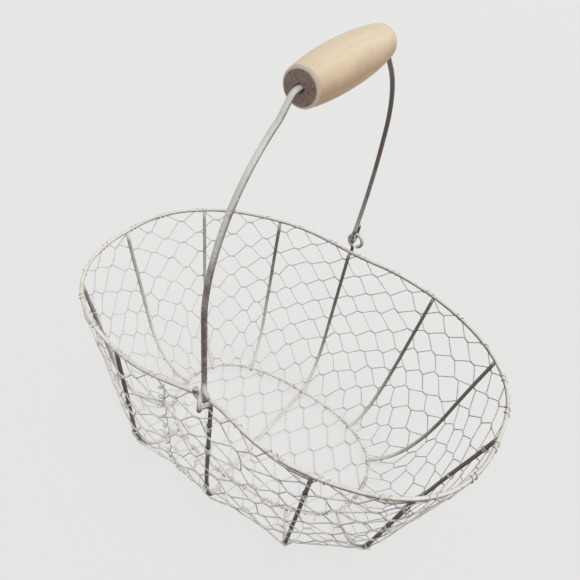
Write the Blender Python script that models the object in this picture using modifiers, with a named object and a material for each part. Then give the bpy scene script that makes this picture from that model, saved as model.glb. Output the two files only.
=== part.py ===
"""Oval egg collection basket: a welded wire frame covered in hexagonal wire netting,
with a swinging wire bail and a turned wooden grip.

The frame: origin on the ground under the middle of the basket, +X along the oval's length,
+Y across it, +Z up. All lengths are in metres. "Front" is the -Y side and "left" the -X side.
"""

from math import atan2, cos, exp, pi, radians, sin

import bmesh
import bpy
from mathutils import Vector
from mathutils.geometry import interpolate_bezier

# ---------------------------------------------------------------- driving dimensions
RIM_HALF_LENGTH = 0.170
RIM_HALF_WIDTH = 0.110
RIM_POWER = 2.55            # superellipse power: 2 is an ellipse, more is squarer
RIM_HEIGHT = 0.1531         # mean height of the rim wire's centre
RIM_SADDLE = 0.0029         # the rim rises this much at the bail and drops it at the ends
RIM_RIPPLE = 0.0013         # and this much less between them
PINCH_FRONT = 0.0105        # the bail has drawn the rim in at its eyes
PINCH_BACK = 0.0055
PINCH_SPREAD = 0.037

RING_HALF_LENGTH = 0.0977   # the thin oval ring on the floor of the basket
RING_HALF_WIDTH = 0.0593
RING_POWER = 2.42

FRAME_WIRE = 0.0030         # diameter of the rim and the ribs
RING_WIRE = 0.0020
BAIL_WIRE = 0.0035
NETTING = 0.0012            # thickness of the netting's own layer
NETTING_EDGE = 0.0007       # from a panel's edge to the middle of the rib behind it
NETTING_DROP = 0.0080       # the netting's panels start this far below the rim
NECK_DROP = 0.0065          # and the handle rib bends outward this far below it
GAP = 0.0003                # between pieces that touch

# The ribs, counter-clockwise from the right-hand end: the angle on the rim, the angle on the
# ring, how far outside the ring the wall would meet the floor, the height where the bend begins.
RIBS = (
    ("end_right", 0.6, -0.2, 0.0373, 0.0580),
    ("shoulder_back_right", 36.4, 31.4, 0.0357, 0.0771),
    ("side_back_right", 63.6, 56.9, 0.0234, 0.0651),
    ("handle_back", 91.75, 91.1, 0.0298, 0.0523),
    ("side_back_left", 116.4, 125.0, 0.0361, 0.0437),
    ("shoulder_back_left", 142.5, 152.3, 0.0365, 0.0520),
    ("end_left", 180.4, 180.5, 0.0355, 0.0614),
    ("shoulder_front_left", 216.7, 208.2, 0.0389, 0.0520),
    ("side_front_left", 244.8, 228.9, 0.0416, 0.0555),
    ("handle_front", 271.0, 266.0, 0.0395, 0.0760),
    ("side_front_right", 297.3, 302.0, 0.0320, 0.0200),
    ("shoulder_front_right", 320.0, 332.3, 0.0412, 0.0560),
)
SCALLOP = 0.06              # how far the netting pulls in between the ribs' feet, over the bay's width

HINGE_Z = 0.1697            # the bail turns about a level line at this height
FRONT_EYE_Y = -0.1065       # where the line passes the front eye, at x = 0
BACK_EYE_Y = 0.1048         # and the back eye
HINGE_BACK_X = -0.0045
EYE_RADIUS = 0.00625        # of the wire's centre line
FRONT_EYE_TURN = radians(30)    # the front eye lies along the bail, the back one across it
BACK_EYE_X = -0.0025        # the back eye's centre is beside the hinge line and above it,
BACK_EYE_RISE = 0.0018      # so the hook sits low in it
FRONT_EYE_ARC = (240, -45)  # degrees, from the wire's neck to its cut end
BACK_EYE_ARC = (235, -72)
BACK_NECK = (0.0041, 0.0005)    # the neck passes this far behind the rim, this far above it

FRONT_HOOK_RADIUS = 0.0047
FRONT_HOOK_ARC = (50, -215)
FRONT_LEG_INSET = 0.0021    # the front leg stands this far inside its hook
BACK_HOOK_RADIUS = 0.0039
HOOK_LEG = 0.0112           # the height above the hinge where a hook becomes the bail's leg
BACK_RETURN = 0.0060        # straight part of the hook's return, above its bend
BACK_TIP = (0.0026, 0.0130) # the return's cut end, outside the hook's middle and above it
TIP_SLANT = 0.6

# Reach of the tangents that shape the free bends
FRONT_EYE_PULL = 0.0045
BACK_NECK_PULL = 0.0040
BACK_EYE_PULL = 0.0030
FRONT_HOOK_PULL = 0.0024
BACK_TIP_PULL = 0.0025

BAIL_LEAN = radians(1.75)   # the bail stands a little towards +X
# The bail's corners, as distance along the hinge line and height above it, and their radii.
BAIL_CORNERS = (
    (-0.1162, 0.1310, 0.1088),
    (-0.0626, 0.1693, 0.0192),
    (-0.0539, 0.1803, 0.0080),
    (0.0500, 0.1851, 0.0065),
    (0.1004, 0.1397, 0.0883),
    (0.1098, 0.0526, 0.2908),
)

GRIP_LENGTH = 0.0936
GRIP_SHARE = 0.506          # its middle's place along the bail's straight top
GRIP_RADIUS = 0.0138
GRIP_END_RADIUS = 0.0107
GRIP_EDGE = 0.0018
GRIP_BORE = 0.0023

WIRE_SIDES = 2              # bevel resolution: 2 gives a wire eight sides
FRAME_RADIUS = FRAME_WIRE / 2
RIB_FLOOR_Z = NETTING + 2 * GAP + FRAME_RADIUS
RING_Z = RIB_FLOOR_Z + FRAME_RADIUS + GAP + RING_WIRE / 2
NET_OFFSET = FRAME_RADIUS + 2 * GAP + NETTING / 2
WALL_SHARE = 0.5            # the part of a rib's run, as v from 0 to 1, that is straight wall
BEND_STEPS = 8
NECK_STEPS = 5
HOOK_STEPS = 3
EYE_STEPS = 18
FRONT_HOOK_STEPS = 16
BACK_HOOK_STEPS = 10
CORNER_STEPS = 6
UP = Vector((0, 0, 1))


# ---------------------------------------------------------------- shapes in space
def superellipse(half_x, half_y, power, angle):
    c, s = cos(angle), sin(angle)
    reach = (abs(c) ** power + abs(s) ** power) ** (-1 / power)
    return half_x * reach * c, half_y * reach * s


def rim_point(angle):
    """The rim wire's centre line: an oval, drawn in at the eyes and higher there."""
    x, y = superellipse(RIM_HALF_LENGTH, RIM_HALF_WIDTH, RIM_POWER, angle)
    near_eye = exp(-((x / PINCH_SPREAD) ** 2))
    y += PINCH_FRONT * near_eye if y < 0 else -PINCH_BACK * near_eye
    z = RIM_HEIGHT - RIM_SADDLE * cos(2 * angle) + RIM_RIPPLE * cos(4 * angle)
    return Vector((x, y, z))


def ring_point(angle, height):
    x, y = superellipse(RING_HALF_LENGTH, RING_HALF_WIDTH, RING_POWER, angle)
    return Vector((x, y, height))


def make_stations():
    """The ribs' places in order round the basket, counter-clockwise from the right-hand end."""
    return [
        {
            "name": name,
            "rim_angle": radians(rim_angle),
            "ring_angle": radians(ring_angle),
            "reach": reach,
            "bend": bend,
        }
        for name, rim_angle, ring_angle, reach, bend in RIBS
    ]


def rib_point(station, v):
    """The rib's centre line: v is 0 at the rim, WALL_SHARE where the wall bends, 1 at the ring."""
    top = rim_point(station["rim_angle"])
    inner = ring_point(station["ring_angle"], RIB_FLOOR_Z)
    outward = Vector((top.x - inner.x, top.y - inner.y, 0)).normalized()
    foot = inner + outward * station["reach"]
    bend_start = foot.lerp(top, station["bend"] / (top.z - foot.z))
    if v <= WALL_SHARE:
        return top.lerp(bend_start, v / WALL_SHARE)
    t = (v - WALL_SHARE) / (1 - WALL_SHARE)
    return bend_start * (1 - t) ** 2 + foot * (2 * t * (1 - t)) + inner * t ** 2


def below_rim(station, drop):
    """The v of the point on the wall that is this far along it from the rim."""
    wall = rib_point(station, 0) - rib_point(station, WALL_SHARE)
    return WALL_SHARE * drop / wall.length


def net_point(left, right, u, v):
    """The netting's middle surface between two ribs: u runs from one to the other."""
    ends = []
    for station in (left, right):
        here = rib_point(station, v)
        step = 0.001
        along = rib_point(station, min(v + step, 1)) - rib_point(station, max(v - step, 0))
        outward = (rib_point(station, 0) - ring_point(station["ring_angle"], 0)).xy.normalized()
        side = Vector((-outward.y, outward.x, 0))
        ends.append(here + along.cross(side).normalized() * NET_OFFSET)
    point = ends[0].lerp(ends[1], u)

    rim_span = right["rim_angle"] - left["rim_angle"]
    rim_chord = rim_point(left["rim_angle"]).lerp(rim_point(right["rim_angle"]), u)
    rim_bow = rim_point(left["rim_angle"] + rim_span * u) - rim_chord
    ring_span = right["ring_angle"] - left["ring_angle"]
    ring_ends = [ring_point(s["ring_angle"], 0) for s in (left, right)]
    ring_bow = ring_point(left["ring_angle"] + ring_span * u, 0) - ring_ends[0].lerp(ring_ends[1], u)
    floor_share = max(0, (v - WALL_SHARE) / (1 - WALL_SHARE))
    point += rim_bow * max(0, 1 - v / 0.75) + ring_bow * floor_share ** 2

    inward = Vector((-point.x, -point.y, 0)).normalized() + UP
    hump = sin(pi * v) ** 2 * max(0, sin(pi * floor_share)) if floor_share else 0
    width = (ends[1] - ends[0]).length
    return point + inward * (SCALLOP * width * sin(pi * u) * hump)


# ---------------------------------------------------------------- paths of the bent wires
def arc(centre, first, second, radius, start, end, count):
    """Points on a circle: angle 0 is along first, 90 degrees along second."""
    angles = [radians(start + (end - start) * i / count) for i in range(count + 1)]
    return [centre + (first * cos(a) + second * sin(a)) * radius for a in angles]


def sweep_between(start, start_way, end, end_way, pull, count):
    """A smooth bend from one point and direction to another, without its two end points."""
    first = start + start_way.normalized() * pull
    second = end - end_way.normalized() * pull
    return interpolate_bezier(start, first, second, end, count + 2)[1:-1]


def rounded(corners, radii, count):
    """Straight runs between corners, with an arc of the given radius in each inner corner."""
    points = [corners[0]]
    for before, corner, after, radius in zip(corners, corners[1:], corners[2:], radii):
        back = (before - corner).normalized()
        ahead = (after - corner).normalized()
        half_turn = (pi - back.angle(ahead)) / 2
        middle = corner + (back + ahead).normalized() * (radius / cos(half_turn))
        first = -(back + ahead).normalized()
        second = (ahead - back).normalized()
        sweep = half_turn * 180 / pi
        points += arc(middle, first, second, radius, -sweep, sweep, count)
    points.append(corners[-1])
    return points


def front_eye(wall_top):
    """The front end of the handle rib, from the wall up: out under the rim, then the eye."""
    across = Vector((-sin(FRONT_EYE_TURN), cos(FRONT_EYE_TURN), 0))
    centre = Vector((0, FRONT_EYE_Y, HINGE_Z - EYE_RADIUS))
    loop = arc(centre, across, UP, EYE_RADIUS, *FRONT_EYE_ARC, EYE_STEPS)
    neck = sweep_between(wall_top, UP, loop[0], loop[1] - loop[0], FRONT_EYE_PULL, NECK_STEPS)
    return neck + loop


def back_eye(wall_top, rim_angle):
    """The back end of the handle rib: under the rim, up behind it, then the eye."""
    along = Vector((1, 0, 0))
    centre = Vector((BACK_EYE_X, BACK_EYE_Y, HINGE_Z + BACK_EYE_RISE))
    loop = arc(centre, along, UP, EYE_RADIUS, *BACK_EYE_ARC, EYE_STEPS)
    behind = rim_point(rim_angle) + Vector((0, *BACK_NECK))
    neck = sweep_between(wall_top, UP, behind, UP, BACK_NECK_PULL, NECK_STEPS)
    neck.append(behind)
    neck += sweep_between(behind, UP, loop[0], loop[1] - loop[0], BACK_EYE_PULL, NECK_STEPS)
    return neck + loop


def front_hook():
    """The bail's front end, from the leg down: a loop across the bail, round the eye's top."""
    along = Vector((1, 0, 0))
    centre = Vector((0, FRONT_EYE_Y, 0))
    loop = arc(centre, along, UP, FRONT_HOOK_RADIUS, *FRONT_HOOK_ARC, FRONT_HOOK_STEPS)
    leg_end = centre + Vector((0, FRONT_LEG_INSET, HOOK_LEG))
    turn = sweep_between(leg_end, -UP, loop[0], loop[1] - loop[0], FRONT_HOOK_PULL, HOOK_STEPS)
    return [leg_end, *turn, *loop]


def back_hook():
    """The bail's back end: down inside the eye, through it, up outside and back to the leg."""
    outward = Vector((0, 1, 0))
    middle = Vector((0, BACK_EYE_Y, BACK_HOOK_RADIUS))
    turn = arc(middle, outward, UP, BACK_HOOK_RADIUS, -180, 0, BACK_HOOK_STEPS)
    leg_end = middle - outward * BACK_HOOK_RADIUS + UP * (HOOK_LEG - BACK_HOOK_RADIUS)
    above_eye = middle + outward * BACK_HOOK_RADIUS + UP * BACK_RETURN
    tip = middle + Vector((0, *BACK_TIP))
    bent_back = sweep_between(above_eye, UP, tip, UP - outward * TIP_SLANT, BACK_TIP_PULL, HOOK_STEPS)
    return [leg_end, *turn, above_eye, *bent_back, tip]


def bail_path():
    """The bail in its own upright plane, with the hinge line at height 0."""
    front = front_hook()
    back = back_hook()
    corners = [front[0], *(Vector((0, y, z)) for y, z, _ in BAIL_CORNERS), back[0]]
    bends = rounded(corners, [radius for _, _, radius in BAIL_CORNERS], CORNER_STEPS)
    return list(reversed(front[1:])) + bends + back[1:]


# ---------------------------------------------------------------- making the objects
def material(name, colour, roughness, metallic):
    made = bpy.data.materials.new(name)
    made.use_nodes = True
    shader = made.node_tree.nodes["Principled BSDF"]
    shader.inputs["Base Color"].default_value = (*colour, 1)
    shader.inputs["Roughness"].default_value = roughness
    shader.inputs["Metallic"].default_value = metallic
    return made


def add_object(name, data, parent=None):
    made = bpy.data.objects.new(name, data)
    made.parent = parent
    basket.objects.link(made)
    return made


def add_wire(name, points, diameter, finish, closed=False, parent=None):
    data = bpy.data.curves.new(name, "CURVE")
    data.dimensions = "3D"
    data.bevel_depth = diameter / 2
    data.bevel_resolution = WIRE_SIDES
    data.use_fill_caps = True
    spline = data.splines.new("POLY")
    spline.points.add(len(points) - 1)
    for spot, point in zip(spline.points, points):
        spot.co = (*point, 1)
    spline.use_cyclic_u = closed
    data.materials.append(finish)
    return add_object(name, data, parent)


def add_empty(name, place, turn, parent=None):
    made = add_object(name, None, parent)
    made.location = place
    made.rotation_euler = turn
    return made


def finish_mesh(shape, name, finish):
    data = bpy.data.meshes.new(name)
    shape.to_mesh(data)
    shape.free()
    data.materials.append(finish)
    return data


def add_rim():
    count = 72
    points = [rim_point(2 * pi * i / count) for i in range(count)]
    add_wire("rim_wire", points, FRAME_WIRE, material("rim_paint", (0.80, 0.76, 0.68), 0.5, 0.0), True)


def add_base_ring():
    count = 48
    points = [ring_point(2 * pi * i / count, RING_Z) for i in range(count)]
    add_wire("base_ring", points, RING_WIRE, material("ring_paint", (0.78, 0.74, 0.66), 0.5, 0.0), True)


def levels_below(start, wall_steps):
    """Values of v from the start down the wall and round the bend to the ring."""
    wall = [start + (WALL_SHARE - start) * i / wall_steps for i in range(wall_steps)]
    bend = [WALL_SHARE + (1 - WALL_SHARE) * i / BEND_STEPS for i in range(BEND_STEPS + 1)]
    return wall + bend


def rib_run(station, drop):
    """From a little below the rim to the ring."""
    return [rib_point(station, v) for v in levels_below(below_rim(station, drop), 1)]


def add_rib(name, station, finish):
    add_wire(name, rib_run(station, FRAME_WIRE / 2 + GAP), FRAME_WIRE, finish)


def add_handle_rib(front, back):
    """One wire from eye to eye: down the front wall, across the floor and up the back wall."""
    front_run = rib_run(front, NECK_DROP)
    back_run = rib_run(back, NECK_DROP)
    points = list(reversed(front_eye(front_run[0]))) + front_run
    points += list(reversed(back_run)) + back_eye(back_run[0], back["rim_angle"])
    add_wire("handle_rib", points, FRAME_WIRE, material("handle_rib_paint", (0.78, 0.74, 0.66), 0.5, 0.0))


def add_netting_bay(name, left, right, finish):
    """A thin panel from just under the rim, round the bend and in to the ring."""
    columns, wall_rows = 4, 3
    rows = wall_rows + BEND_STEPS
    shape = bmesh.new()
    bmesh.ops.create_grid(shape, x_segments=columns, y_segments=rows, size=0.5)
    shape.verts.ensure_lookup_table()
    for vert in shape.verts:
        row = round((0.5 - vert.co.y) * rows)
        share = vert.co.x + 0.5
        start = below_rim(left, NETTING_DROP) * (1 - share) + below_rim(right, NETTING_DROP) * share
        v = levels_below(start, wall_rows)[row]
        margin = NETTING_EDGE / (rib_point(left, v) - rib_point(right, v)).length
        vert.co = net_point(left, right, margin + (1 - 2 * margin) * share, v)
    panel = add_object(name, finish_mesh(shape, name, finish))
    thickness = panel.modifiers.new("thickness", "SOLIDIFY")
    thickness.thickness = NETTING
    thickness.offset = 0


def add_netting_base(finish):
    """The oval piece of netting inside the ring."""
    data = bpy.data.curves.new("netting_base", "CURVE")
    data.dimensions = "2D"
    data.fill_mode = "BOTH"
    data.extrude = NETTING / 2
    spline = data.splines.new("POLY")
    count = 48
    spline.points.add(count - 1)
    for i, spot in enumerate(spline.points):
        x, y, _ = ring_point(2 * pi * i / count, 0) * (1 - 2 * GAP / RING_HALF_WIDTH)
        spot.co = (x, y, 0, 1)
    spline.use_cyclic_u = True
    data.materials.append(finish)
    add_object("netting_base", data).location = (0, 0, NETTING / 2)


def add_bail():
    """The bail wire, in the plane of an empty that stands on the hinge line."""
    span = BACK_EYE_Y - FRONT_EYE_Y
    place = (HINGE_BACK_X * -FRONT_EYE_Y / span, 0, HINGE_Z)
    pivot = add_empty("bail_pivot", place, (0, BAIL_LEAN, atan2(-HINGE_BACK_X, span)))
    finish = material("bail_paint", (0.55, 0.51, 0.46), 0.5, 0.0)
    add_wire("bail_wire", bail_path(), BAIL_WIRE, finish, parent=pivot)
    return pivot


def add_grip(pivot):
    """A turned barrel with a bore, its profile spun round the bail's straight top."""
    near, far = (Vector((0, y, z)) for y, z, _ in BAIL_CORNERS[2:4])
    slope = atan2(far.z - near.z, far.y - near.y)
    spindle = add_empty("grip_spindle", near.lerp(far, GRIP_SHARE), (slope, 0, 0), pivot)
    half = GRIP_LENGTH / 2
    count = 8
    outer = []
    for i in range(count + 1):
        along = -1 + 2 * i / count
        radius = GRIP_RADIUS - (GRIP_RADIUS - GRIP_END_RADIUS) * along ** 2
        outer.append((radius, -along * (half - GRIP_EDGE)))
    face = GRIP_END_RADIUS - GRIP_EDGE
    profile = [(GRIP_BORE, half), (face, half), *outer, (face, -half), (GRIP_BORE, -half)]
    shape = bmesh.new()
    verts = [shape.verts.new((radius, 0, height)) for radius, height in profile]
    for first, second in zip(verts, verts[1:] + verts[:1]):
        shape.edges.new((first, second))
    finish = material("grip_wood", (0.78, 0.62, 0.42), 0.55, 0.0)
    grip = add_object("wood_grip", finish_mesh(shape, "wood_grip", finish), spindle)
    grip.rotation_euler = (pi / 2, 0, 0)
    turned = grip.modifiers.new("turned", "SCREW")
    turned.steps = turned.render_steps = 20
    turned.merge_threshold = 0.00001
    turned.use_smooth_shade = True


for old in list(bpy.data.objects):
    bpy.data.objects.remove(old, do_unlink=True)
basket = bpy.data.collections.new("egg_basket")
bpy.context.scene.collection.children.link(basket)

stations = make_stations()
named = {station["name"]: station for station in stations}
add_rim()
add_base_ring()
rib_paint = material("rib_paint", (0.78, 0.74, 0.66), 0.5, 0.0)
for station in stations:
    if not station["name"].startswith("handle"):
        add_rib("rib_" + station["name"], station, rib_paint)
add_handle_rib(named["handle_front"], named["handle_back"])

first = stations[0]
closing = {key: first[key] + 2 * pi for key in ("rim_angle", "ring_angle")}
net_paint = material("netting_paint", (0.74, 0.71, 0.64), 0.55, 0.0)
for number, (left, right) in enumerate(zip(stations, [*stations[1:], {**first, **closing}]), 1):
    add_netting_bay(f"netting_bay_{number:02d}", left, right, net_paint)
add_netting_base(net_paint)
add_grip(add_bail())
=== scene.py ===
import random
from math import atan2, cos, exp, pi, radians, sin

import bpy
import numpy as np
from mathutils import Matrix, Vector, noise
from mathutils.geometry import interpolate_bezier


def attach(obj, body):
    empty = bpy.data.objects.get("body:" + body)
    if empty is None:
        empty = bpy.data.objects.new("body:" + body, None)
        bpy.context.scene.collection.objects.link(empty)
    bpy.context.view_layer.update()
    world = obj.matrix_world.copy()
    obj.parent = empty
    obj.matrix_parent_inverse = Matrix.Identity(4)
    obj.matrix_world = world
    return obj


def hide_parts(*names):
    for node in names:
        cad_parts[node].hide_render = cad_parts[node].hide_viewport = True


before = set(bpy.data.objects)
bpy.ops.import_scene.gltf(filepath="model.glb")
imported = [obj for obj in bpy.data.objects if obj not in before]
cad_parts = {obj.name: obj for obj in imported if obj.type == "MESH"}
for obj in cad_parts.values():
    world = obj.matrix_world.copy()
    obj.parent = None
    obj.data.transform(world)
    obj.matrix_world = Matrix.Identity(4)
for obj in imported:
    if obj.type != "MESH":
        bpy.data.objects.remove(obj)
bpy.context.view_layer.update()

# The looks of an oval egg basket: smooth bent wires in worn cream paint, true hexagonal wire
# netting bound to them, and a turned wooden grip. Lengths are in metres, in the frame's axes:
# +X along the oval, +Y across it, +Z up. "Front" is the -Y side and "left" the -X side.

SEED = 7
random.seed(SEED)
noise.seed_set(SEED)          # noise_vector starts from a new state in each run without this

# ---------------------------------------------------------------- the frame's own dimensions
RIM_HALF_LENGTH = 0.170
RIM_HALF_WIDTH = 0.110
RIM_POWER = 2.55
RIM_HEIGHT = 0.1531
RIM_SADDLE = 0.0029
RIM_RIPPLE = 0.0013
PINCH_FRONT = 0.0105
PINCH_BACK = 0.0055
PINCH_SPREAD = 0.037
RING_HALF_LENGTH = 0.0977
RING_HALF_WIDTH = 0.0593
RING_POWER = 2.42
FRAME_RADIUS = 0.0015
RING_RADIUS = 0.0010
BAIL_RADIUS = 0.00175
RIB_FLOOR_Z = 0.0033
RING_Z = 0.0061
RIBS = (                     # angle on the rim, on the ring, reach of the foot, height of the bend
    ("end_right", 0.6, -0.2, 0.0373, 0.0580),
    ("shoulder_back_right", 36.4, 31.4, 0.0357, 0.0771),
    ("side_back_right", 63.6, 56.9, 0.0234, 0.0651),
    ("handle_back", 91.75, 91.1, 0.0298, 0.0523),
    ("side_back_left", 116.4, 125.0, 0.0361, 0.0437),
    ("shoulder_back_left", 142.5, 152.3, 0.0365, 0.0520),
    ("end_left", 180.4, 180.5, 0.0355, 0.0614),
    ("shoulder_front_left", 216.7, 208.2, 0.0389, 0.0520),
    ("side_front_left", 244.8, 228.9, 0.0416, 0.0555),
    ("handle_front", 271.0, 266.0, 0.0395, 0.0760),
    ("side_front_right", 297.3, 302.0, 0.0320, 0.0200),
    ("shoulder_front_right", 320.0, 332.3, 0.0412, 0.0560),
)
WALL_SHARE = 0.5
SCALLOP = 0.06
NECK_DROP = 0.0065
HINGE_Z = 0.1697
FRONT_EYE_Y = -0.1065
BACK_EYE_Y = 0.1048
HINGE_BACK_X = -0.0045
EYE_RADIUS = 0.00625
FRONT_EYE_TURN = radians(30)
BACK_EYE_X = -0.0025
BACK_EYE_RISE = 0.0018
FRONT_EYE_ARC = (240, -45)
BACK_EYE_ARC = (235, -72)
BACK_NECK = (0.0041, 0.0005)
FRONT_HOOK_RADIUS = 0.0047
FRONT_HOOK_ARC = (50, -215)
FRONT_LEG_INSET = 0.0021
BACK_HOOK_RADIUS = 0.0039
HOOK_LEG = 0.0112
BACK_RETURN = 0.0060
BACK_TIP = (0.0026, 0.0130)
TIP_SLANT = 0.6
FRONT_EYE_PULL = 0.0045
BACK_NECK_PULL = 0.0040
BACK_EYE_PULL = 0.0030
FRONT_HOOK_PULL = 0.0024
BACK_TIP_PULL = 0.0025
BAIL_LEAN = radians(1.75)
BAIL_CORNERS = (             # along the hinge line, above it, and the bend's radius
    (-0.1162, 0.1310, 0.1088),
    (-0.0626, 0.1693, 0.0192),
    (-0.0539, 0.1803, 0.0080),
    (0.0500, 0.1851, 0.0065),
    (0.1004, 0.1397, 0.0883),
    (0.1098, 0.0526, 0.2908),
)
GRIP_LENGTH = 0.0936
GRIP_SHARE = 0.506
GRIP_RADIUS = 0.0138
GRIP_END_RADIUS = 0.0107
GRIP_BORE = 0.0023
GRIP_EDGE = 0.0016           # the broken edge at each end of the visible barrel
BARREL_POWER = 2.2
RIB_DROP = 0.0012            # from the rim's middle down to a rib's top end
RIM_LAP_START = radians(290)
RIM_LAP = radians(7)
RIM_LAP_RAMP = radians(4)
RIM_LAP_DROP = 0.0029        # the lapped end lies under the other one
RIM_WOBBLE = (0.00035, 30)   # how far, and how closely spaced the kinks are
RING_WOBBLE = (0.0003, 40)
RIB_WOBBLE = (0.0004, 22)

# ---------------------------------------------------------------- the netting's dimensions
NET_WIRE = 0.00043           # radius
NET_OFFSET = 0.00235         # from the middle of a rib out to the middle of the netting
PERIODS = 28                 # twists in one row round the basket
ROWS = 14                    # from the rim, row 0, to the base ring
FIRST_ROW = 10.0             # the rows' spacing grows downward, where the netting is gathered
ROW_GROWTH = 0.10
TWIST = 0.0056               # length of one twisted pair
TWIST_TURNS = 1.5
TWIST_POINTS = 11
TURN_POINTS = 12             # in one turn round a frame wire
DRIFT_AROUND, DRIFT_DOWN = 0.0045, 0.016     # how far whole patches of cells stray, in h and f
STRAY_AROUND, STRAY_DOWN = 0.0011, 0.0055    # and how far each twist does
FRONT_UNREST = 1.1
RIM_TURN_SPAN = 0.0050
RING_TURN_SPAN = 0.0032
TIE_WIRE = 0.00036           # radius
SEAM_SHARES = (0.45, 0.55)   # of the side rib's and the handle rib's place
SEAM_LOOPS = 15
WALL_PHASE = 1.57            # in half periods; no turn lies where the grip comes down on the rim
FLOOR_STEP_A = Vector((0.0164, -0.0176))     # from one twist of the floor piece to its neighbours
FLOOR_STEP_B = Vector((0.0123, 0.0142))
FLOOR_NET_Z = 0.0010
FLOOR_PLACES = {}
UP = Vector((0, 0, 1))


# ---------------------------------------------------------------- shapes in space
def superellipse(half_x, half_y, power, angle):
    c, s = cos(angle), sin(angle)
    reach = (abs(c) ** power + abs(s) ** power) ** (-1 / power)
    return half_x * reach * c, half_y * reach * s


def rim_point(angle):
    x, y = superellipse(RIM_HALF_LENGTH, RIM_HALF_WIDTH, RIM_POWER, angle)
    near_eye = exp(-((x / PINCH_SPREAD) ** 2))
    y += PINCH_FRONT * near_eye if y < 0 else -PINCH_BACK * near_eye
    z = RIM_HEIGHT - RIM_SADDLE * cos(2 * angle) + RIM_RIPPLE * cos(4 * angle)
    return Vector((x, y, z))


def ring_point(angle, height):
    x, y = superellipse(RING_HALF_LENGTH, RING_HALF_WIDTH, RING_POWER, angle)
    return Vector((x, y, height))


def make_stations():
    """The ribs' places in order, counter-clockwise from the right-hand end."""
    return [
        {
            "name": name,
            "rim_angle": radians(rim_angle),
            "ring_angle": radians(ring_angle),
            "reach": reach,
            "bend": bend,
        }
        for name, rim_angle, ring_angle, reach, bend in RIBS
    ]


def rib_point(station, v):
    """The rib's centre line: v is 0 at the rim, WALL_SHARE where the wall bends, 1 at the ring."""
    top = rim_point(station["rim_angle"])
    inner = ring_point(station["ring_angle"], RIB_FLOOR_Z)
    outward = Vector((top.x - inner.x, top.y - inner.y, 0)).normalized()
    foot = inner + outward * station["reach"]
    bend_start = foot.lerp(top, station["bend"] / (top.z - foot.z))
    if v <= WALL_SHARE:
        return top.lerp(bend_start, v / WALL_SHARE)
    t = (v - WALL_SHARE) / (1 - WALL_SHARE)
    return bend_start * (1 - t) ** 2 + foot * (2 * t * (1 - t)) + inner * t ** 2


def rib_outward(station, v):
    """Square to the rib at v, pointing out of the basket."""
    step = 0.001
    along = rib_point(station, min(v + step, 1)) - rib_point(station, max(v - step, 0))
    outward = (rib_point(station, 0) - ring_point(station["ring_angle"], 0)).xy.normalized()
    return along.cross(Vector((-outward.y, outward.x, 0))).normalized()


def below_rim(station, drop):
    wall = rib_point(station, 0) - rib_point(station, WALL_SHARE)
    return WALL_SHARE * drop / wall.length


def net_point(left, right, u, v_left, v_right):
    """The netting's middle surface between two ribs: u runs from one to the other."""
    v = v_left * (1 - u) + v_right * u
    ends = [rib_point(s, w) + rib_outward(s, w) * NET_OFFSET for s, w in ((left, v_left), (right, v_right))]
    point = ends[0].lerp(ends[1], u)
    rim_span = right["rim_angle"] - left["rim_angle"]
    rim_chord = rim_point(left["rim_angle"]).lerp(rim_point(right["rim_angle"]), u)
    rim_bow = rim_point(left["rim_angle"] + rim_span * u) - rim_chord
    ring_span = right["ring_angle"] - left["ring_angle"]
    ring_chord = ring_point(left["ring_angle"], 0).lerp(ring_point(right["ring_angle"], 0), u)
    ring_bow = ring_point(left["ring_angle"] + ring_span * u, 0) - ring_chord
    floor_share = max(0, (v - WALL_SHARE) / (1 - WALL_SHARE))
    point += rim_bow * max(0, 1 - v / 0.75) + ring_bow * floor_share ** 2
    inward = Vector((-point.x, -point.y, 0)).normalized() + UP
    hump = sin(pi * v) ** 2 * max(0, sin(pi * floor_share)) if floor_share else 0
    width = (ends[1] - ends[0]).length
    return point + inward * (SCALLOP * width * sin(pi * u) * hump)


def table_lookup(table, value):
    """The fractional index at which a rising table reaches the value."""
    index = int(np.clip(np.searchsorted(table, value, side="right") - 1, 0, len(table) - 2))
    return index + (value - table[index]) / (table[index + 1] - table[index])


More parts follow.
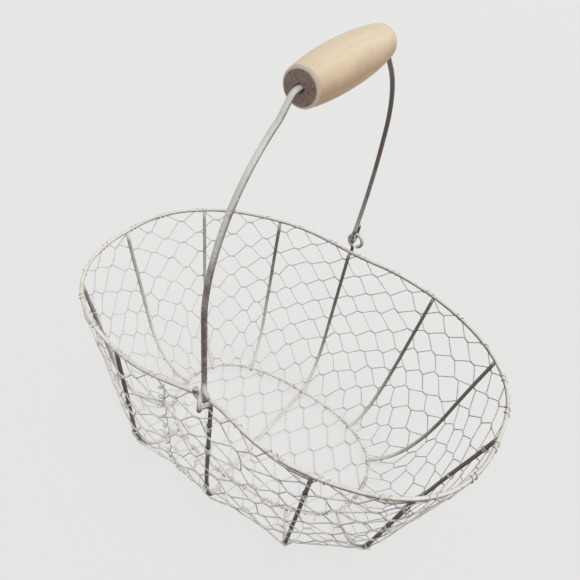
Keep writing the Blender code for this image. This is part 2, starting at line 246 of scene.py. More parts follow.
# ---------------------------------------------------------------- the wall as a grid of points
class Wall:
    """The netting's surface: h runs once round the basket from its right-hand end, measured
    along the rim, and f runs down it, measured along the wall and the floor, from rim to ring."""

    COLUMNS = 288
    LEVELS = 64
    FINE = 720

    def __init__(self, stations):
        first = stations[0]
        closing = {key: first[key] + 2 * pi for key in ("rim_angle", "ring_angle")}
        opening = {key: stations[-1][key] - 2 * pi for key in ("rim_angle", "ring_angle")}
        self.stations = [{**stations[-1], **opening}, *stations, {**first, **closing}]
        angles = [2 * pi * i / self.FINE for i in range(self.FINE + 1)]
        places = [rim_point(a) for a in angles]
        steps = [(b - a).length for a, b in zip(places, places[1:])]
        self.rim_length = sum(steps)
        self.rim_table = np.concatenate([[0], np.cumsum(steps)]) / self.rim_length
        levels = [self.level_table(s) for s in self.stations]
        self.grid = np.zeros((self.COLUMNS + 1, self.LEVELS + 1, 3))
        rib_angles = [s["rim_angle"] for s in self.stations]
        for column in range(self.COLUMNS + 1):
            angle = self.rim_angle(column / self.COLUMNS)
            bay = min(int(table_lookup(rib_angles, angle)), len(self.stations) - 2)
            u = table_lookup(rib_angles, angle) - bay
            for row in range(self.LEVELS + 1):
                share = row / self.LEVELS
                v_left, v_right = (np.interp(share, levels[b], self.steps_of_v()) for b in (bay, bay + 1))
                self.grid[column, row] = net_point(*self.stations[bay:bay + 2], u, v_left, v_right)

    def steps_of_v(self):
        return np.linspace(0, 1, 101)

    def level_table(self, station):
        places = [rib_point(station, v) for v in self.steps_of_v()]
        lengths = np.cumsum([0] + [(b - a).length for a, b in zip(places, places[1:])])
        return lengths / lengths[-1]

    def rim_angle(self, h):
        """The rim's angle at h, which may be more than one turn."""
        turns, part = divmod(h, 1)
        return 2 * pi * (turns + table_lookup(self.rim_table, part) / self.FINE)

    def h_of_rib(self, station):
        place = station["rim_angle"] / (2 * pi) * self.FINE
        return float(np.interp(place, range(self.FINE + 1), self.rim_table))

    def point(self, h, f):
        x = (h % 1) * self.COLUMNS
        y = min(max(f, 0), 1) * self.LEVELS
        i, j = min(int(x), self.COLUMNS - 1), min(int(y), self.LEVELS - 1)
        a, b = x - i, y - j
        g = self.grid
        upper = g[i, j] * (1 - a) + g[i + 1, j] * a
        lower = g[i, j + 1] * (1 - a) + g[i + 1, j + 1] * a
        return Vector(upper * (1 - b) + lower * b)

    def axes(self, h, f):
        """Unit vectors there: round the basket, down the wall, and outward."""
        dh, df = 0.004, 0.02
        around = (self.point(h + dh, f) - self.point(h - dh, f)).normalized()
        down = (self.point(h, min(f + df, 1)) - self.point(h, max(f - df, 0))).normalized()
        outward = down.cross(around).normalized()
        return around, (around.cross(outward)).normalized(), outward


# ---------------------------------------------------------------- tubes
class Tubes:
    """Many round wires gathered in one mesh."""

    def __init__(self, sides):
        self.sides = sides
        self.verts = []
        self.faces = []
        self.count = 0

    def add(self, points, radius, closed=False):
        """A wire along the points. Its frame is carried along, so it doesn't twist."""
        path = np.array([tuple(p) for p in points], float)
        keep = np.ones(len(path), bool)
        keep[1:] = np.linalg.norm(np.diff(path, axis=0), axis=1) > 1e-6
        path = path[keep]
        n = len(path)
        if closed:
            tangents = np.roll(path, -1, 0) - np.roll(path, 1, 0)
        else:
            tangents = np.gradient(path, axis=0)
        tangents /= np.linalg.norm(tangents, axis=1)[:, None]
        side = np.cross(tangents[0], (0.0, 0.0, 1.0))
        if np.linalg.norm(side) < 0.1:
            side = np.cross(tangents[0], (1.0, 0.0, 0.0))
        sides = np.zeros((n, 3))
        for i in range(n):
            side = side - tangents[i] * side.dot(tangents[i])
            side /= np.linalg.norm(side)
            sides[i] = side
        ups = np.cross(sides, tangents)
        angles = np.linspace(0, 2 * pi, self.sides, endpoint=False)
        radii = np.broadcast_to(np.asarray(radius, float), (n,))[:, None, None]
        rings = path[:, None] + radii * (sides[:, None] * np.cos(angles)[None, :, None]
                                         + ups[:, None] * np.sin(angles)[None, :, None])
        start = self.count
        self.verts.append(rings.reshape(-1, 3))
        self.count += n * self.sides
        k = np.arange(self.sides)
        after = (k + 1) % self.sides
        last = n if closed else n - 1
        for i in range(last):
            a, b = start + i * self.sides, start + (i + 1) % n * self.sides
            self.faces += np.stack([a + k, a + after, b + after, b + k], 1).tolist()
        if not closed:
            self.faces.append((start + k[::-1]).tolist())
            self.faces.append((start + (n - 1) * self.sides + k).tolist())

    def build(self, name, finish):
        data = bpy.data.meshes.new(name)
        data.from_pydata(np.concatenate(self.verts).tolist(), [], self.faces)
        data.polygons.foreach_set("use_smooth", [len(f) == 4 for f in self.faces])
        data.materials.append(finish)
        made = bpy.data.objects.new(name, data)
        bpy.context.scene.collection.objects.link(made)
        return made


def rounded_path(points):
    """Cuts every corner once, and keeps the two ends."""
    path = [points[0]]
    for a, b in zip(points, points[1:]):
        path += [a.lerp(b, 0.25), a.lerp(b, 0.75)]
    return [*path, points[-1]]


def wobble(points, amount, scale):
    """Small smooth kinks, as in wire that was straightened and bent by hand."""
    return [p + noise.noise_vector(p * scale) * amount for p in points]


# ---------------------------------------------------------------- the bent frame wires
def arc(centre, first, second, radius, start, end, count):
    angles = [radians(start + (end - start) * i / count) for i in range(count + 1)]
    return [centre + (first * cos(a) + second * sin(a)) * radius for a in angles]


def sweep_between(start, start_way, end, end_way, pull, count):
    first = start + start_way.normalized() * pull
    second = end - end_way.normalized() * pull
    return interpolate_bezier(start, first, second, end, count + 2)[1:-1]


def rounded(corners, radii, count):
    points = [corners[0]]
    for before, corner, after, radius in zip(corners, corners[1:], corners[2:], radii):
        back = (before - corner).normalized()
        ahead = (after - corner).normalized()
        half_turn = (pi - back.angle(ahead)) / 2
        middle = corner + (back + ahead).normalized() * (radius / cos(half_turn))
        sweep = half_turn * 180 / pi
        toward_corner, along = -(back + ahead).normalized(), (ahead - back).normalized()
        points += arc(middle, toward_corner, along, radius, -sweep, sweep, count)
    return [*points, corners[-1]]


def rib_run(station, drop):
    start = below_rim(station, drop)
    wall = [start + (WALL_SHARE - start) * i / 12 for i in range(12)]
    bend = [WALL_SHARE + (1 - WALL_SHARE) * i / 24 for i in range(25)]
    return [rib_point(station, v) for v in wall + bend]


def front_eye(wall_top):
    across = Vector((-sin(FRONT_EYE_TURN), cos(FRONT_EYE_TURN), 0))
    centre = Vector((0, FRONT_EYE_Y, HINGE_Z - EYE_RADIUS))
    loop = arc(centre, across, UP, EYE_RADIUS, *FRONT_EYE_ARC, 40)
    return sweep_between(wall_top, UP, loop[0], loop[1] - loop[0], FRONT_EYE_PULL, 12) + loop


def back_eye(wall_top, rim_angle):
    centre = Vector((BACK_EYE_X, BACK_EYE_Y, HINGE_Z + BACK_EYE_RISE))
    loop = arc(centre, Vector((1, 0, 0)), UP, EYE_RADIUS, *BACK_EYE_ARC, 40)
    behind = rim_point(rim_angle) + Vector((0, *BACK_NECK))
    neck = sweep_between(wall_top, UP, behind, UP, BACK_NECK_PULL, 10) + [behind]
    return neck + sweep_between(behind, UP, loop[0], loop[1] - loop[0], BACK_EYE_PULL, 8) + loop


def front_hook():
    centre = Vector((0, FRONT_EYE_Y, 0))
    loop = arc(centre, Vector((1, 0, 0)), UP, FRONT_HOOK_RADIUS, *FRONT_HOOK_ARC, 36)
    leg_end = centre + Vector((0, FRONT_LEG_INSET, HOOK_LEG))
    return [leg_end, *sweep_between(leg_end, -UP, loop[0], loop[1] - loop[0], FRONT_HOOK_PULL, 8), *loop]


def back_hook():
    outward = Vector((0, 1, 0))
    middle = Vector((0, BACK_EYE_Y, BACK_HOOK_RADIUS))
    turn = arc(middle, outward, UP, BACK_HOOK_RADIUS, -180, 0, 24)
    leg_end = middle - outward * BACK_HOOK_RADIUS + UP * (HOOK_LEG - BACK_HOOK_RADIUS)
    above_eye = middle + outward * BACK_HOOK_RADIUS + UP * BACK_RETURN
    tip = middle + Vector((0, *BACK_TIP))
    bent_back = sweep_between(above_eye, UP, tip, UP - outward * TIP_SLANT, BACK_TIP_PULL, 8)
    return [leg_end, *turn, above_eye, *bent_back, tip]


def bail_path():
    front, back = front_hook(), back_hook()
    corners = [front[0], *(Vector((0, y, z)) for y, z, _ in BAIL_CORNERS), back[0]]
    bends = rounded(corners, [radius for _, _, radius in BAIL_CORNERS], 24)
    return list(reversed(front[1:])) + bends + back[1:]


def single_wire(name, points, radius, finish, closed=False):
    tubes = Tubes(16)
    tubes.add(points, radius, closed)
    return tubes.build(name, finish)


def make_rim(finish):
    """The rim is one wire whose ends lap each other near the front right."""
    count = 420
    points = []
    for i in range(count + 1):
        turn = i / count * (2 * pi + RIM_LAP)
        point = rim_point(RIM_LAP_START + turn)
        over = max(0.0, (turn - 2 * pi + RIM_LAP_RAMP) / (RIM_LAP + RIM_LAP_RAMP))
        point.z -= RIM_LAP_DROP * min(1.0, over * 1.8)
        points.append(point)
    rim = single_wire("rim", wobble(points, *RIM_WOBBLE), FRAME_RADIUS, finish)
    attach(rim, "basket")
    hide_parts("rim_wire")


def make_base_ring(finish):
    count = 240
    points = [ring_point(2 * pi * i / count, RING_Z) for i in range(count)]
    ring = single_wire("floor_ring", wobble(points, *RING_WOBBLE), RING_RADIUS, finish, True)
    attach(ring, "basket")
    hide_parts("base_ring")


def make_ribs(stations, finish):
    for station in stations:
        if station["name"].startswith("handle"):
            continue
        name = "rib_" + station["name"]
        points = wobble(rib_run(station, RIB_DROP), *RIB_WOBBLE)
        rib = single_wire(name + "_wire", points, FRAME_RADIUS, finish)
        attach(rib, "basket")
        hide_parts(name)


def make_handle_rib(stations, finish):
    back, front = (s for s in stations if s["name"].startswith("handle"))
    front_run, back_run = rib_run(front, NECK_DROP), rib_run(back, NECK_DROP)
    points = list(reversed(front_eye(front_run[0]))) + front_run
    points += list(reversed(back_run)) + back_eye(back_run[0], back["rim_angle"])
    rib = single_wire("handle_rib_wire", points, FRAME_RADIUS, finish)
    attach(rib, "basket")
    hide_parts("handle_rib")


def bail_matrix():
    span = BACK_EYE_Y - FRONT_EYE_Y
    place = Matrix.Translation((HINGE_BACK_X * -FRONT_EYE_Y / span, 0, HINGE_Z))
    return place @ Matrix.Rotation(atan2(-HINGE_BACK_X, span), 4, "Z") @ Matrix.Rotation(BAIL_LEAN, 4, "Y")


def grip_matrix():
    """The grip's own frame: its local Z is the bail's straight top, toward the front."""
    near, far = (Vector((0, y, z)) for y, z, _ in BAIL_CORNERS[2:4])
    slope = atan2(far.z - near.z, far.y - near.y)
    place = Matrix.Translation(near.lerp(far, GRIP_SHARE))
    return bail_matrix() @ place @ Matrix.Rotation(slope, 4, "X") @ Matrix.Rotation(pi / 2, 4, "X")


def make_bail(finish):
    bail = single_wire("bail", bail_path(), BAIL_RADIUS, finish)
    bail.matrix_world = bail_matrix()
    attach(bail, "bail")
    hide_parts("bail_wire")


def make_grip(finish):
    """A turned barrel: a profile spun round the bail's straight top."""
    half, edge = GRIP_LENGTH / 2, GRIP_EDGE
    profile = [(GRIP_BORE, -half + 0.006), (GRIP_BORE, -half + 0.0006), (GRIP_BORE + 0.0005, -half)]
    profile += [(GRIP_END_RADIUS - edge - 0.002, -half), (GRIP_END_RADIUS - edge, -half + 0.0002)]
    steps = 40
    for i in range(steps + 1):
        along = -1 + 2 * i / steps
        radius = GRIP_RADIUS - (GRIP_RADIUS - GRIP_END_RADIUS) * abs(along) ** BARREL_POWER
        profile.append((radius, along * (half - edge)))
    profile += [(r, -z) for r, z in reversed(profile[:5])]
    segments = 64
    verts, faces = [], []
    for r, z in profile:
        for k in range(segments):
            a = 2 * pi * k / segments
            verts.append((r * cos(a), r * sin(a), z))
    count = len(profile)
    for i in range(count):
        j = (i + 1) % count
        for k in range(segments):
            m = (k + 1) % segments
            faces.append((i * segments + k, i * segments + m, j * segments + m, j * segments + k))
    data = bpy.data.meshes.new("grip")
    data.from_pydata(verts, [], faces)
    data.polygons.foreach_set("use_smooth", [True] * len(faces))
    data.set_sharp_from_angle(angle=radians(50))
    data.materials.append(finish)
    grip = bpy.data.objects.new("grip", data)
    bpy.context.scene.collection.objects.link(grip)
    grip.matrix_world = grip_matrix()
    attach(grip, "grip")
    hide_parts("wood_grip")


# ---------------------------------------------------------------- hexagonal netting
def strand(centre, axis, up, outward, rising):
    """One wire of a twisted pair, from its left end to its right end."""
    start = pi if rising else 0.0
    path = []
    for i in range(TWIST_POINTS):
        t = i / (TWIST_POINTS - 1)
        phase = start + TWIST_TURNS * 2 * pi * t
        offset = (up * cos(phase) + outward * sin(phase)) * (NET_WIRE * 1.02)
        path.append(centre + axis * ((t - 0.5) * TWIST) + offset)
    return path


def wrap_turns(centre_at, outward_at, around, reach, half_span, turns, start_phase):
    """A wire wound round a frame wire: centre_at(offset) gives that wire's centre."""
    count = max(6, round(turns * TURN_POINTS))
    path = []
    for i in range(count + 1):
        t = i / count
        offset = (2 * t - 1) * half_span
        phase = start_phase + around * turns * 2 * pi * t
        centre, outward = centre_at(offset), outward_at(offset)
        path.append(centre + (outward * cos(phase) + UP * sin(phase)) * reach)
    return path


class WallNetting:
    """The sleeve round the wall. A place in it is a row and a half-period number of the same parity."""

    def __init__(self, wall):
        self.wall = wall
        total = FIRST_ROW * ROWS + ROW_GROWTH * ROWS ** 2
        self.levels = [(FIRST_ROW * r + ROW_GROWTH * r ** 2) / total for r in range(ROWS + 1)]
        self.twists = {}
        self.rim_wraps = {}
        self.ring_wraps = {}

    def unrest(self, h):
        """How much more the netting is pulled about on the front wall."""
        return 1 + FRONT_UNREST * max(0.0, -sin(2 * pi * h))

    def base(self, row, number):
        number %= 2 * PERIODS
        h = (number + WALL_PHASE) / (2 * PERIODS)
        seed = Vector((cos(2 * pi * h) * 9, sin(2 * pi * h) * 9, row * 0.55))
        drift = noise.noise_vector(seed) * self.unrest(h)
        return number, h + drift.x * DRIFT_AROUND, self.levels[row] + drift.y * DRIFT_DOWN

    def twist(self, row, number):
        number, h, f = self.base(row, number)
        key = (row, number)
        if key not in self.twists:
            unrest = self.unrest(h)
            h += random.uniform(-1, 1) * STRAY_AROUND * unrest
            f += random.uniform(-1, 1) * STRAY_DOWN * unrest
            around, down, outward = self.wall.axes(h, f)
            tilt = radians(random.gauss(0, 9))
            axis = around * cos(tilt) + down * sin(tilt)
            lift = random.uniform(0.0, 0.0004)
            centre = self.wall.point(h, f) + outward * lift
            centre.z = max(centre.z, FLOOR_NET_Z)
            self.twists[key] = (centre, axis, outward.cross(axis) * -1, outward)
        return self.twists[key]

    def twist_strand(self, row, number, rising):
        centre, axis, up, outward = self.twist(row, number)
        if up.z < 0 and abs(outward.z) < 0.9:
            up = -up
        return strand(centre, axis, up, outward, rising)

    def rim_wrap(self, number):
        _, h, _ = self.base(0, number)
        span = RIM_TURN_SPAN / self.wall.rim_length * random.uniform(0.8, 1.15)

        def centre_at(offset):
            return rim_point(self.wall.rim_angle(h + offset))

        def outward_at(offset):
            ahead = centre_at(offset + 0.001) - centre_at(offset - 0.001)
            return Vector((ahead.y, -ahead.x, 0)).normalized()

        turns = random.choice((1, 2, 2))
        return wrap_turns(centre_at, outward_at, 1, FRAME_RADIUS + NET_WIRE, span, turns, radians(-70))

    def ring_wrap(self, number):
        _, h, _ = self.base(ROWS, number)
        spot = self.wall.point(h, 1)
        angle = ring_angle_of(spot)
        return ring_turns(angle, RING_TURN_SPAN, random.choice((1, 2)), radians(-100), 1)

    def draw(self, tubes):
        for first in range(0, 2 * PERIODS, 2):
            number = first
            path = [self.ring_wrap_of(number)[-1]]
            for row in range(ROWS - 1, 0, -1):
                number += 1
                path += self.twist_strand(row, number, True)
            number += 1
            path += self.rim_wrap(number)
            for row in range(1, ROWS):
                number += 1
                path += self.twist_strand(row, number, False)
            path += self.ring_wrap_of(number + 1)
            tubes.add(soften(path), NET_WIRE)

    def ring_wrap_of(self, number):
        number %= 2 * PERIODS
        if number not in self.ring_wraps:
            self.ring_wraps[number] = self.ring_wrap(number)
        return self.ring_wraps[number]


def soften(path):
    """Adds a few points along the long straight runs, bowed a little."""
    out = [path[0]]
    for a, b in zip(path, path[1:]):
        gap = (b - a).length
        if gap > 0.004:
            side = noise.noise_vector((a + b) * 60) * (gap * 0.045)
            for t in (0.12, 0.35, 0.65, 0.88):
                out.append(a.lerp(b, t) + side * (4 * t * (1 - t)))
        out.append(b)
    return out


# ---------------------------------------------------------------- round the base ring
def ring_angle_of(spot):
    """The ring's parameter angle nearest the direction of the spot."""
    best = min(range(360), key=lambda d: (ring_point(radians(d), 0).xy - spot.xy).length)
    fine = [radians(best + i / 20) for i in range(-20, 21)]
    return min(fine, key=lambda a: (ring_point(a, 0).xy - spot.xy).length)


def ring_turns(angle, half_span, turns, start_phase, around):
    speed = (ring_point(angle + 0.01, 0) - ring_point(angle - 0.01, 0)).length / 0.02

    def centre_at(offset):
        return ring_point(angle + offset / speed, RING_Z)

    def outward_at(offset):
        ahead = centre_at(offset + 0.001) - centre_at(offset - 0.001)
        return Vector((ahead.y, -ahead.x, 0)).normalized()

    return wrap_turns(centre_at, outward_at, around, RING_RADIUS + NET_WIRE, half_span, turns, start_phase)


def inside_ring(spot, margin):
    x = abs(spot.x) / (RING_HALF_LENGTH - margin)
    y = abs(spot.y) / (RING_HALF_WIDTH - margin)
    return x ** RING_POWER + y ** RING_POWER < 1


def floor_strand(place, rising):
    axis = Vector((1, 0, 0))
    return strand(place, axis, Vector((0, 1, 0)), UP, rising)


def floor_place(i, j):
    """Where the floor's twist i, j is: each is drawn once and then kept."""
    if (i, j) not in FLOOR_PLACES:
        flat = FLOOR_STEP_A * i + FLOOR_STEP_B * j
        drift = noise.noise_vector(Vector((flat.x * 24, flat.y * 24, 3.3))) * 0.0016
        jitter = Vector((random.uniform(-1, 1), random.uniform(-1, 1))) * 0.0005
        spot = Vector((flat.x + drift.x + jitter.x, flat.y + drift.y + jitter.y, 0))
        sag = 0.0014 * (0.5 + 0.5 * noise.noise(Vector((flat.x * 30, flat.y * 30, 8.1))))
        spot.z = FLOOR_NET_Z + sag
        FLOOR_PLACES[i, j] = spot
    return FLOOR_PLACES[i, j]


def draw_floor(tubes):
    """Rising wires step by FLOOR_STEP_B from twist to twist, falling ones by FLOOR_STEP_A."""
    reach = range(-12, 13)
    for rising in (True, False):
        for fixed in reach:
            run = []
            for moving in reach:
                i, j = (fixed, moving) if rising else (moving, fixed)
                run += floor_strand(floor_place(i, j), rising)
            run = soften(run)
            inside = [inside_ring(p, 0.0006) for p in run]
            if sum(inside) < 6:
                continue
            first, last = inside.index(True), len(inside) - 1 - inside[::-1].index(True)
            path = run[first:last + 1]
            start = ring_turns(ring_angle_of(path[0]), 0.0015, 1.25, radians(180), -1)
            end = ring_turns(ring_angle_of(path[-1]), 0.0015, 1.25, radians(180), 1)
            tubes.add([*reversed(start), *path, *end], NET_WIRE)


# ---------------------------------------------------------------- ties, seam and stray loops
def tie(tubes, centre, along, outward, turns):
    """A short binding wire round a rib and the netting behind it, with two cut ends."""
    side = along.cross(outward).normalized()
    path = []
    count = round(turns * 14)
    wide, deep = FRAME_RADIUS + 0.00050, FRAME_RADIUS + 0.00110
    for i in range(count + 1):
        t = i / count
        phase = 2 * pi * turns * t + 1.2
        loop = side * (cos(phase) * wide) + outward * (sin(phase) * deep + 0.0006)
        path.append(centre + loop + along * ((t - 0.5) * 0.0009 * turns * 1.6))
    ends = [path[0] + outward * 0.0012 + side * 0.0009, path[-1] + outward * 0.0010 - side * 0.0012]
    tubes.add(rounded_path([ends[0], *path, ends[1]]), TIE_WIRE)


def draw_ties(tubes, stations):
    """A few ties on each near rib and on the right end's."""
    for station in stations:
        if "front" not in station["name"] and station["name"] != "end_right":
            continue
        for share in (0.14, 0.33, 0.58):
            v = share + random.uniform(-0.05, 0.05)
            along = (rib_point(station, v - 0.004) - rib_point(station, v + 0.004)).normalized()
            tie(tubes, rib_point(station, v), along, rib_outward(station, v), random.choice((1.5, 2.5)))


def draw_ring_knots(tubes):
    for angle in (-9, 7, 96, 171, 188, 262):
        turns = ring_turns(radians(angle), 0.0016, 3, radians(90), 1)
        tubes.add(turns, NET_WIRE)


def draw_seam(tubes, wall, stations):
    """A lacing wire that closes the sleeve, between the front handle rib and the next one left."""
    places = {station["name"]: wall.h_of_rib(station) for station in stations}
    side_share, handle_share = SEAM_SHARES
    middle = places["side_front_left"] * side_share + places["handle_front"] * handle_share
    count = 260
    path = []
    for i in range(count + 1):
        t = i / count
        h = middle + 0.003 * noise.noise(Vector((t * 5, 0.3, 0.9)))
        around, down, outward = wall.axes(h, t)
        loops = 2 * pi * SEAM_LOOPS * t + 1.5 * noise.noise(Vector((t * 9, 4.2, 1.1)))
        wide = 0.0021 + 0.0012 * noise.noise(Vector((t * 16, 7.7, 2.1)))
        point = wall.point(h, t) + around * (cos(loops) * wide) + outward * (sin(loops) * 0.0012)
        path.append(point + down * (sin(loops) * 0.0022))
    for p in path:
        p.z = max(p.z, FLOOR_NET_Z)
    tubes.add(path, NET_WIRE * 1.1)


def make_netting(stations, finish):
    wall = Wall(stations)
    bays = [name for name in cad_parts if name.startswith("netting_bay")]

    sleeve = Tubes(6)
    WallNetting(wall).draw(sleeve)
    sleeve = sleeve.build("netting_sleeve", finish)
    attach(sleeve, "basket")
    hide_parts(*sorted(bays))

    floor = Tubes(6)
    draw_floor(floor)
    floor = floor.build("netting_floor", finish)
    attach(floor, "basket")
    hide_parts("netting_base")

    extras = (("rib_ties", lambda t: draw_ties(t, stations)), ("ring_knots", draw_ring_knots),
              ("seam_lacing", lambda t: draw_seam(t, wall, stations)))
    for name, draw in extras:
        tubes = Tubes(6)
        draw(tubes)
        piece = tubes.build(name, finish)
        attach(piece, "basket")


# ---------------------------------------------------------------- materials
FLOOR_GLOW = 0.638


class Nodes:
    """A short way to write a node tree."""

    def __init__(self, name):
        self.material = bpy.data.materials.new(name)
        self.material.use_nodes = True
        self.tree = self.material.node_tree
        self.shader = self.tree.nodes["Principled BSDF"]

    def add(self, kind, **settings):
        node = self.tree.nodes.new("ShaderNode" + kind)
        for key, value in settings.items():
            setattr(node, key, value)
        return node

    def link(self, source, target):
        self.tree.links.new(source, target)

    def noise(self, vector, scale, detail=4.0, roughness=0.55):
        made = self.add("TexNoise")
        made.inputs["Scale"].default_value = scale
        made.inputs["Detail"].default_value = detail
        made.inputs["Roughness"].default_value = roughness
        self.link(vector, made.inputs["Vector"])
        return made.outputs["Fac"]

    def range(self, value, low, high, out_low=0.0, out_high=1.0):
        made = self.add("MapRange")
        limits = (("From Min", low), ("From Max", high), ("To Min", out_low), ("To Max", out_high))
        for key, number in limits:
            made.inputs[key].default_value = number
        self.link(value, made.inputs["Value"])
        return made.outputs["Result"]

    def maths(self, operation, a, b):
        made = self.add("Math", operation=operation)
        for socket, value in zip(made.inputs, (a, b)):
            if isinstance(value, (int, float)):
                socket.default_value = value
            else:
                self.link(value, socket)
        return made.outputs[0]

    def mix(self, factor, first, second):
        made = self.add("Mix", data_type="RGBA")
        for key, value in (("Factor", factor), ("A", first), ("B", second)):
            socket = next(s for s in made.inputs if s.name == key and s.enabled)
            if isinstance(value, tuple):
                socket.default_value = (*value, 1)
            else:
                self.link(value, socket)
        return next(s for s in made.outputs if s.enabled)

    def bump(self, height, strength, distance):
        made = self.add("Bump")
        made.inputs["Strength"].default_value = strength
        made.inputs["Distance"].default_value = distance
        self.link(height, made.inputs["Height"])
        self.link(made.outputs["Normal"], self.shader.inputs["Normal"])


def painted_wire(name, paints, metal, top_low, top_high, back_right_painted_shade=0.0, roughness=0.5, underside_painted_shade=1.0,
                 lighter_low_and_above_rim=0.0, low_height=0.02, front_painted_shade=0.0, patchy=0.28,
                 shine=0.35):
    """Old paint on iron wire, worn in patches and specks. It is paler where it faces up and brown metal
    beneath, partly worn paint and partly painted light from above; the metal beneath is darker still by
    underside_painted_shade, which is painted shade. back_right_painted_shade darkens it toward the back
    right and front_painted_shade at the front, both painted shade; lighter_low_and_above_rim makes it paler
    below low_height, painted light against the floor's shadow, and above the rim."""
    paint, paint_low = paints
    n = Nodes(name)
    coordinates = n.add("TexCoord")
    place = coordinates.outputs["Object"]
    split = n.add("SeparateXYZ")
    n.link(coordinates.outputs["Normal"], split.inputs[0])
    patches = n.noise(place, 95, 5, 0.62)
    fine = n.noise(place, 900, 3, 0.6)
    # Facing up takes more paint: partly worn paint, partly painted light from above. The patches and fine
    # noise are wear.
    ragged = n.maths("ADD", split.outputs["Z"], n.range(patches, 0.3, 0.7, -patchy, patchy))
    ragged = n.maths("ADD", ragged, n.range(fine, 0.3, 0.7, -0.10, 0.10))
    # Painted shade: less paint, so darker, toward the back right, and more toward the front left.
    toward = n.add("VectorMath", operation="DOT_PRODUCT")
    toward.inputs[1].default_value = (0.85, 0.53, 0.0)
    n.link(place, toward.inputs[0])
    ragged = n.maths("ADD", ragged, n.range(toward.outputs["Value"], -0.15, 0.15, back_right_painted_shade, -back_right_painted_shade))
    spot = n.add("SeparateXYZ")
    n.link(place, spot.inputs[0])
    # Painted light: more paint, so paler, near the floor, against the floor's shadow and the dark
    # undersides. The same lift is given above the rim.
    ragged = n.maths("ADD", ragged, n.range(spot.outputs["Z"], 0.006, low_height, lighter_low_and_above_rim, 0.0))
    ragged = n.maths("ADD", ragged, n.range(spot.outputs["Z"], 0.154, 0.159, 0.0, lighter_low_and_above_rim))
    # Painted shade: less paint, so darker, on the front side.
    ragged = n.maths("SUBTRACT", ragged, n.range(spot.outputs["Y"], -0.11, -0.05, front_painted_shade, 0.0))
    top = n.range(ragged, top_low, top_high)
    shades = n.mix(n.range(n.noise(place, 34, 3), 0.35, 0.65), paint, paint_low)
    # Painted shade: the bare metal is darker still where it faces down.
    painted_shade_under = tuple(c * underside_painted_shade for c in metal)
    metal_with_painted_shade = n.mix(n.range(split.outputs["Z"], -0.35, 0.25), painted_shade_under, metal)
    colour = n.mix(top, metal_with_painted_shade, shades)
    specks = n.range(n.noise(place, 420, 2, 0.5), 0.60, 0.68)
    colour = n.mix(n.maths("MULTIPLY", specks, 1.6 * patchy), colour, tuple(c * 0.55 for c in metal))
    n.link(colour, n.shader.inputs["Base Color"])
    n.link(n.range(fine, 0.3, 0.7, roughness - 0.12, roughness + 0.14), n.shader.inputs["Roughness"])
    n.shader.inputs["Specular IOR Level"].default_value = shine
    n.bump(n.maths("ADD", fine, patches), 0.30, 0.0002)
    return n.material


def wood_finish():
    """Pale turned hardwood: faint grain along the barrel, tanner beneath (partly its own tone, partly
    painted shade), a greyer worn edge and dark end grain."""
    n = Nodes("grip_wood_visual")
    coordinates = n.add("TexCoord")
    place = coordinates.outputs["Object"]
    stretch = n.add("Mapping")
    stretch.inputs["Scale"].default_value = (1.0, 1.0, 0.07)
    n.link(place, stretch.inputs["Vector"])
    along = stretch.outputs["Vector"]
    broad = n.noise(along, 130, 4, 0.5)
    streaks = n.noise(along, 620, 5, 0.65)
    pores = n.noise(along, 1900, 2, 0.5)
    blotch = n.noise(place, 45, 3, 0.5)
    facing = n.add("SeparateXYZ")
    n.link(coordinates.outputs["Normal"], facing.inputs[0])
    # Painted shade in part: tanner where the surface faces down in the grip's own frame, so it turns with
    # the grip. The blotches are the wood's own.
    painted_shade_under = n.maths("ADD", facing.outputs["Y"], n.range(blotch, 0.3, 0.7, -0.12, 0.12))
    pale = n.mix(n.range(broad, 0.36, 0.64), (0.82, 0.69, 0.50), (0.77, 0.625, 0.44))
    tan = n.mix(n.range(broad, 0.36, 0.64), (0.47, 0.315, 0.185), (0.41, 0.265, 0.155))
    colour = n.mix(n.range(painted_shade_under, -0.05, 0.80), tan, pale)
    colour = n.mix(n.range(streaks, 0.42, 0.72, 0.0, 0.13), colour, (0.42, 0.27, 0.15))
    colour = n.mix(n.range(pores, 0.62, 0.70, 0.0, 0.12), colour, (0.22, 0.14, 0.09))
    split = n.add("SeparateXYZ")
    n.link(place, split.inputs[0])
    far = n.maths("ABSOLUTE", split.outputs["Z"], 0.0)
    half = GRIP_LENGTH / 2
    ragged = n.maths("ADD", far, n.range(streaks, 0.3, 0.7, -0.0006, 0.0006))
    worn = n.range(ragged, half - 0.0024, half - 0.0016)
    colour = n.mix(n.maths("MULTIPLY", worn, 0.80), colour, (0.56, 0.47, 0.39))
    end = n.range(far, half - 0.0006, half - 0.0002)
    grain = n.range(n.noise(place, 700, 4), 0.35, 0.65)
    colour = n.mix(end, colour, n.mix(grain, (0.150, 0.103, 0.082), (0.240, 0.178, 0.145)))
    n.link(colour, n.shader.inputs["Base Color"])
    n.link(n.range(streaks, 0.3, 0.8, 0.38, 0.58), n.shader.inputs["Roughness"])
    n.shader.inputs["Specular IOR Level"].default_value = 0.35
    n.bump(n.maths("ADD", streaks, pores), 0.20, 0.0002)
    return n.material


def floor_finish():
    """A pale floor that is partly lit from within, which keeps the shadows faint."""
    n = Nodes("studio_floor")
    coordinates = n.add("TexCoord")
    cloud = n.noise(coordinates.outputs["Object"], 3.0, 2, 0.5)
    colour = n.mix(n.range(cloud, 0.3, 0.7), (0.148, 0.148, 0.146), (0.152, 0.152, 0.150))
    n.link(colour, n.shader.inputs["Base Color"])
    n.shader.inputs["Roughness"].default_value = 0.9
    n.shader.inputs["Specular IOR Level"].default_value = 0.1
    n.shader.inputs["Emission Color"].default_value = (1.0, 1.0, 0.995, 1)
    n.shader.inputs["Emission Strength"].default_value = FLOOR_GLOW
    return n.material


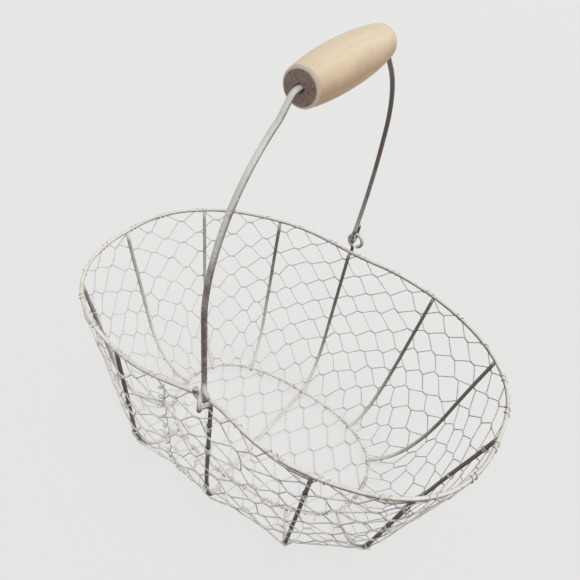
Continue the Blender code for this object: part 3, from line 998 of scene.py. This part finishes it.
# ---------------------------------------------------------------- studio
def make_camera():
    """The view from above the front right, rolled a little."""
    azimuth, elevation, roll = radians(23.92), radians(39.88), radians(11.83)
    ahead = Vector((-sin(azimuth) * cos(elevation), cos(azimuth) * cos(elevation), -sin(elevation)))
    level = Vector((cos(azimuth), sin(azimuth), 0))
    upright = level.cross(ahead)
    right = level * cos(roll) + upright * sin(roll)
    up = upright * cos(roll) - level * sin(roll)
    data = bpy.data.cameras.new("camera")
    data.lens = 34.87
    data.sensor_width = 36.0
    data.shift_x = -0.0352
    data.shift_y = -0.0120
    data.clip_start = 0.01
    camera = bpy.data.objects.new("camera", data)
    bpy.context.scene.collection.objects.link(camera)
    turn = Matrix((right, up, -ahead)).transposed().to_4x4()
    camera.matrix_world = Matrix.Translation((0.1344, -0.2812, 0.4542)) @ turn
    bpy.context.scene.camera = camera


def make_studio():
    scene = bpy.context.scene
    bpy.ops.mesh.primitive_plane_add(size=24, location=(0, 0, 0))
    floor = bpy.context.active_object
    floor.name = "studio_floor"
    floor.data.materials.append(floor_finish())

    world = bpy.data.worlds.new("studio")
    world.use_nodes = True
    backdrop = world.node_tree.nodes["Background"]
    backdrop.inputs["Color"].default_value = (0.98, 0.985, 1.0, 1)
    backdrop.inputs["Strength"].default_value = 0.62
    scene.world = world

    sun = bpy.data.lights.new("overhead_softbox", "SUN")
    sun.energy = 1.30
    sun.angle = radians(75)
    sun.color = (1.0, 0.985, 0.955)
    lamp = bpy.data.objects.new("overhead_softbox", sun)
    scene.collection.objects.link(lamp)
    lamp.rotation_euler = Vector((0.42, 0.18, 1.0)).to_track_quat("Z", "Y").to_euler()

    scene.view_settings.view_transform = "Standard"


# ---------------------------------------------------------------- making it all
make_camera()
make_studio()
cream = (0.84, 0.81, 0.74), (0.74, 0.70, 0.62)
stone = (0.72, 0.705, 0.66), (0.60, 0.58, 0.53)
# The shade and light settings below paint shade and light into the wires' colour.
rim_finish = painted_wire("rim_paint_visual", cream, (0.125, 0.108, 0.095), -0.10, 0.65, back_right_painted_shade=0.24,
                          underside_painted_shade=0.6, front_painted_shade=0.15, patchy=0.20)
ring_finish = painted_wire("ring_paint_visual", cream, (0.30, 0.27, 0.24), -0.60, 0.20)
frame_finish = painted_wire("frame_paint_visual", cream, (0.185, 0.160, 0.144), 0.10, 0.95, back_right_painted_shade=0.34,
                            underside_painted_shade=0.06, lighter_low_and_above_rim=0.60, low_height=0.120, front_painted_shade=0.50,
                            patchy=0.12, shine=0.12)
bail_finish = painted_wire("bail_paint_visual", stone, (0.095, 0.070, 0.062), -0.05, 0.45, roughness=0.38,
                           patchy=0.10)
netting_finish = painted_wire("netting_paint_visual", ((0.86, 0.83, 0.77), (0.78, 0.745, 0.68)),
                              (0.20, 0.175, 0.155), -0.60, 0.50, back_right_painted_shade=0.42, underside_painted_shade=0.55,
                              front_painted_shade=0.50)

stations = make_stations()
make_rim(rim_finish)
make_base_ring(ring_finish)
make_ribs(stations, frame_finish)
make_handle_rib(stations, frame_finish)
make_bail(bail_finish)
make_grip(wood_finish())
make_netting(stations, netting_finish)
